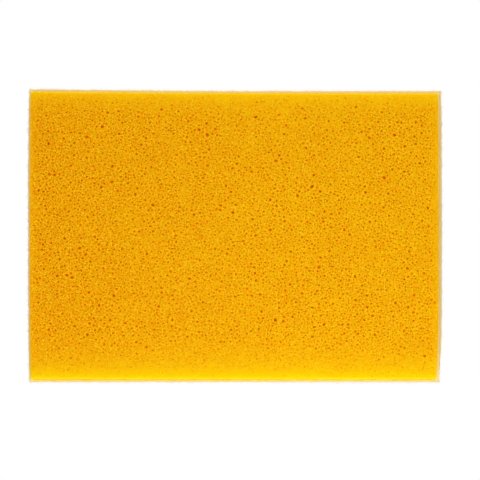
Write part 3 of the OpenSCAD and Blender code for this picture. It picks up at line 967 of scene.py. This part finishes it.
def buildGrip():
    h, g = handleFrame, softGrip
    turn = np.arange(g["sides"]) * 2 * math.pi / g["sides"]
    below = np.clip(-np.cos(turn), 0, 1) ** 1.5
    above = np.clip(np.cos(turn), 0, 1) ** 2
    onFlank = np.clip((np.clip(np.abs(np.sin(turn)), 0, 1) ** 3 - 0.35) / 0.12, 0, 1)
    onTop = np.clip((above - 0.5) / 0.2, 0, 1)
    tilt = 0.55 * np.cos(turn) * 2  # the ribs run round the flanks in a slight chevron
    outer, inner = [], []
    for i in range(g["rings"] + 1):
        w = i / g["rings"]
        fromEnd = min(w, 1 - w)
        share = h["gripFrom"] + (h["gripTo"] - h["gripFrom"]) * w
        swell = g["proud"] * math.sqrt(min(1, fromEnd / g["taper"]))
        body, window = np.clip(fromEnd / 0.07, 0, 1), np.clip((fromEnd - 0.1) / 0.02, 0, 1)
        waves = -g["fingerDepth"] * (0.5 + 0.5 * math.cos(2 * math.pi * g["fingers"] * w)) * below * body
        along = w * g["length"] / g["ribPitch"]
        ribs = np.clip(np.sin(2 * math.pi * (along + tilt)) * 2.2, -1, 1) * 0.5 - 0.5
        dots = np.clip(np.cos(2 * math.pi * along) * np.cos(turn * g["dotRows"]) - 0.35, 0, 1)
        pattern = (g["ribDepth"] * ribs * onFlank + g["dotHeight"] * dots * onTop) * window
        outer.append(sectionRing(bridge, share, g["sides"], swell + waves + pattern))
        if i % 10 == 0:
            inner.append(sectionRing(bridge, share, g["sides"], -h["grooveDepth"] + 0.02))
    points, faces = loft(outer + inner[::-1], closedLoop=True)
    addPiece("grip_sleeve", points, faces, "board_and_handle", mouldedMaterial("soft grip rubber", g),
             ["soft_grip"], sharpAngle=50)
    print("stage: soft grip,", len(points), "points")


tailPlug = {"bossR": 8.5, "holeR": 4.0, "eyeHeight": 43.5, "voxel": 0.4, "joint": 0.003}


def buildTailPlug():
    h, p = handleFrame, tailPlug
    first = h["plugFrom"] + p["joint"]
    neck = loft([sectionRing(bridge, first + (1 - first) * i / 14, 64, -0.5 if i == 0 else 0.0)
                 for i in range(15)])
    low, high = boxOf("tail_plug")
    bossR, holeR, wide = p["bossR"], p["holeR"], (high[1] - low[1]) / 2
    centre = (high[0] - bossR, 0, boardTop + p["eyeHeight"])
    boss = turned([(bossR - 1.6, -wide), (bossR - 0.5, -wide + 0.45), (bossR, -wide + 1.5),
                   (bossR, wide - 1.5), (bossR - 0.5, wide - 0.45), (bossR - 1.6, wide)],
                  centre, (0, 1, 0), 72)
    hole = turned([(holeR + 1.4, -wide - 0.5), (holeR + 0.55, -wide + 0.5), (holeR, -wide + 1.5),
                   (holeR, wide - 1.5), (holeR + 0.55, wide - 0.5), (holeR + 1.4, wide + 0.5)],
                  centre, (0, 1, 0), 64)
    place = station(bridge, h["plugFrom"])
    spigot = turned([(h["spigotR"] - 0.8, -h["spigotLength"]), (h["spigotR"], -h["spigotLength"] + 0.8),
                     (h["spigotR"], 4)], (place[0], 0, boardTop + place[1]), (1, 0, 0), 40)
    points, faces = fuse("plug", [neck, boss, spigot], [hole], p["voxel"])
    far = np.linalg.norm(points[:, [0, 2]] - np.array((centre[0], centre[2])), axis=1)
    near = np.exp(-((far - bossR) / 2.2) ** 2) * (points[:, 0] < centre[0])
    points = soften(points, faces, 3, np.full(len(points), 0.3))
    points = soften(points, faces, 25, 0.5 * near * (far > holeR + 1.5))
    addPiece("hanging_plug", points, faces, "board_and_handle", handleFinish, ["tail_plug"])
    print("stage: tail plug,", len(points), "points")


buildHandleFrame()
buildGrip()
buildTailPlug()


glueWeb = {  # blotches: size, detail and roughness; bump: strength and depth
    "dark": (1.0, 0.74, 0.16, 1), "light": (1.0, 0.86, 0.42, 1), "roughness": 0.35, "coat": 0.0,
    "blotches": (0.8, 4.0, 0.7), "bump": (0.5, 0.1), "bevel": 0.08,
}
stripGlue = {
    "dark": (0.42, 0.36, 0.22, 1), "light": (0.68, 0.62, 0.46, 1), "roughness": 0.28, "coat": 0.2,
    "blotches": (2.2, 3.0, 0.5), "bump": (0.4, 0.08), "bevel": 0.05,
}
board = {
    "dark": (0.36, 0.37, 0.38, 1), "light": (0.42, 0.43, 0.44, 1), "worn": (0.58, 0.59, 0.6, 1),
    "roughness": 0.42, "grain": 0.4, "grainDepth": 0.05, "haze": 0.10, "wear": 0.5, "bevel": 0.45,
}
screws = {"dark": (0.47, 0.46, 0.44, 1), "light": (0.66, 0.65, 0.62, 1), "worn": (0.85, 0.84, 0.82, 1),
          "bevel": 0.12}


def glueMaterial(name, look):
    material, tree, surface = newMaterial(name, **{
        "Roughness": look["roughness"], "Coat Weight": look["coat"]})
    blotches = noiseAt(tree, placeOf(tree), *look["blotches"])
    tree.links.new(mixColour(tree, blotches, look["dark"], look["light"]), surface.inputs["Base Color"])
    bump(tree, surface, blotches, *look["bump"])
    return material


def steelMaterial():
    material, tree, surface = newMaterial("bright screw steel", Metallic=1.0, Roughness=0.3)
    stretched = addNode(tree, "Mapping", {"Vector": placeOf(tree), "Scale": (1.0, 1.0, 14.0)}).outputs[0]
    drawn = noiseAt(tree, stretched, 1.4, 4.0, 0.6)
    wear = useGroup(tree, "edgeWear", Amount=0.8)
    colour = mixColour(tree, drawn, screws["dark"], screws["light"])
    colour = mixColour(tree, wear["Worn"], colour, screws["worn"])
    tree.links.new(colour, surface.inputs["Base Color"])
    tree.links.new(mapRange(tree, drawn, 0.3, 0.7, 0.22, 0.42), surface.inputs["Roughness"])
    bump(tree, surface, drawn, 0.15, 0.03)
    return material


def finishNode(nodeName, material, bevel):
    # A piece whose shape is right as it is: it gets its finish and softened edges.
    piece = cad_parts[nodeName]
    for place in piece.material_slots:
        place.material = material
    if not piece.material_slots:
        piece.data.materials.append(material)
    piece.modifiers.new("weld", "WELD").merge_threshold = 0.00001
    flatten = piece.modifiers.new("flatten", "DECIMATE")
    flatten.decimate_type, flatten.angle_limit = "DISSOLVE", math.radians(1.0)
    edge = piece.modifiers.new("bevel", "BEVEL")
    edge.width, edge.segments, edge.limit_method, edge.angle_limit = bevel * mm, 2, "ANGLE", math.radians(32)
    edge.harden_normals = True


finishNode("laminating_film", glueMaterial("laminating glue web", glueWeb), glueWeb["bevel"])
finishNode("strip_glue", glueMaterial("pressure glue", stripGlue), stripGlue["bevel"])
finishNode("base_plate", mouldedMaterial("grey board plastic", board), board["bevel"])
finishNode("handle_screws", steelMaterial(), screws["bevel"])
print("stage: board, film, glue and screws")


studio = {  # metres and watts
    "nadirLight": 0.75, "horizonLight": 1.1, "zenithLight": 0.55, "floorTone": 0.92, "floorHalf": 4.0,
    "lens": 250.0, "frameWidth": 0.2781, "aim": (0.0029, 0.0025),
    "lamps": {  # place, target, size, power
        "keyAbove": ((-0.7, -0.9, 1.1), (0, 0, 0.03), 0.7, 7.0),
        "rimAbove": ((0.8, 0.9, 0.8), (0, 0, 0.05), 0.5, 3.5),
        "lowFront": ((0.045, 0.45, -0.30), (0, 0.03, 0), 0.3, 1.22),
        "lowBack": ((0.0, -0.5, -0.14), (0, -0.05, 0.01), 0.3, 0.55),
    },
}


def buildFloor():
    # One-sided, so the float's working face can be seen through it from below, and white in the distance.
    mesh = bpy.data.meshes.new("floor")
    half, z = studio["floorHalf"], -0.0003
    corners = [(-half, -half, z), (half, -half, z), (half, half, z), (-half, half, z)]
    mesh.from_pydata(corners, [], [(0, 1, 2, 3)])
    floor = bpy.data.objects.new("floor", mesh)
    bpy.context.scene.collection.objects.link(floor)
    material, tree, surface = newMaterial("pale floor", **{"Roughness": 0.7, "Specular IOR Level": 0.2})
    tone = noiseAt(tree, placeOf(tree), 60.0, 4.0)
    pale = studio["floorTone"]
    colour = mixColour(tree, tone, (pale, pale, pale, 1), (pale * 1.02, pale * 1.02, pale * 1.02, 1))
    tree.links.new(colour, surface.inputs["Base Color"])
    away = addNode(tree, "VectorMath", {0: placeOf(tree)}, operation="LENGTH").outputs["Value"]
    fade = addNode(tree, "MapRange", {"Value": away, "From Min": 0.16, "From Max": 0.75},
                   interpolation_type="SMOOTHSTEP")
    white = addNode(tree, "Emission", {"Color": (1, 1, 1, 1), "Strength": 1.0})
    ground = addNode(tree, "MixShader", {0: fade.outputs[0], 1: surface.outputs[0], 2: white.outputs[0]})
    clear = addNode(tree, "BsdfTransparent")
    below = addNode(tree, "NewGeometry").outputs["Backfacing"]
    both = addNode(tree, "MixShader", {0: below, 1: ground.outputs[0], 2: clear.outputs[0]})
    tree.links.new(both.outputs[0], tree.nodes["Material Output"].inputs["Surface"])
    mesh.materials.append(material)
    for kind in ("shadow", "diffuse", "glossy", "transmission"):
        setattr(floor, "visible_" + kind, False)


def buildWorld():
    world = bpy.data.worlds.new("studio")
    world.use_nodes = True
    bpy.context.scene.world = world
    tree = world.node_tree
    tree.nodes.clear()
    seen = addNode(tree, "LightPath").outputs["Is Camera Ray"]
    height = addNode(tree, "SeparateXYZ", {0: addNode(tree, "TexCoord").outputs["Generated"]}).outputs[2]
    under = mapRange(tree, height, 0.0, -0.5, studio["horizonLight"], studio["nadirLight"])
    over = mapRange(tree, height, 0.0, 0.5, studio["horizonLight"], studio["zenithLight"])
    strength = maths(tree, "MINIMUM", under, over)
    light = addNode(tree, "Background", {"Color": (1, 1, 1, 1), "Strength": strength})
    white = addNode(tree, "Background", {"Color": (1, 1, 1, 1), "Strength": 1.0})
    both = addNode(tree, "MixShader", {0: seen, 1: light.outputs[0], 2: white.outputs[0]})
    tree.links.new(both.outputs[0], addNode(tree, "OutputWorld").inputs["Surface"])


def addSoftbox(name, place, target, size, watts):
    lamp = bpy.data.lights.new(name, "AREA")
    lamp.shape, lamp.size, lamp.energy = "SQUARE", size, watts
    made = bpy.data.objects.new(name, lamp)
    made.location = place
    made.rotation_euler = (Vector(target) - Vector(place)).to_track_quat("-Z", "Y").to_euler()
    made.visible_camera = False
    bpy.context.scene.collection.objects.link(made)


def buildCamera():
    # Square on to the working face from far below, the way a float is laid face up on a bench.
    camera = bpy.data.cameras.new("camera")
    camera.lens, camera.sensor_width = studio["lens"], 36.0
    made = bpy.data.objects.new("camera", camera)
    made.location = (*studio["aim"], -studio["frameWidth"] * camera.lens / camera.sensor_width)
    made.rotation_euler = (math.pi, 0, 0)
    camera.clip_start, camera.clip_end = 0.01, 50
    camera.dof.use_dof = False
    bpy.context.scene.collection.objects.link(made)
    bpy.context.scene.camera = made


buildFloor()
buildWorld()
for lampName, lampSettings in studio["lamps"].items():
    addSoftbox(lampName, *lampSettings)
buildCamera()
bpy.context.scene.view_settings.view_transform = "Standard"
bpy.context.scene.view_settings.look = "None"
print("stage: floor, lights and camera")

print("stage: done")
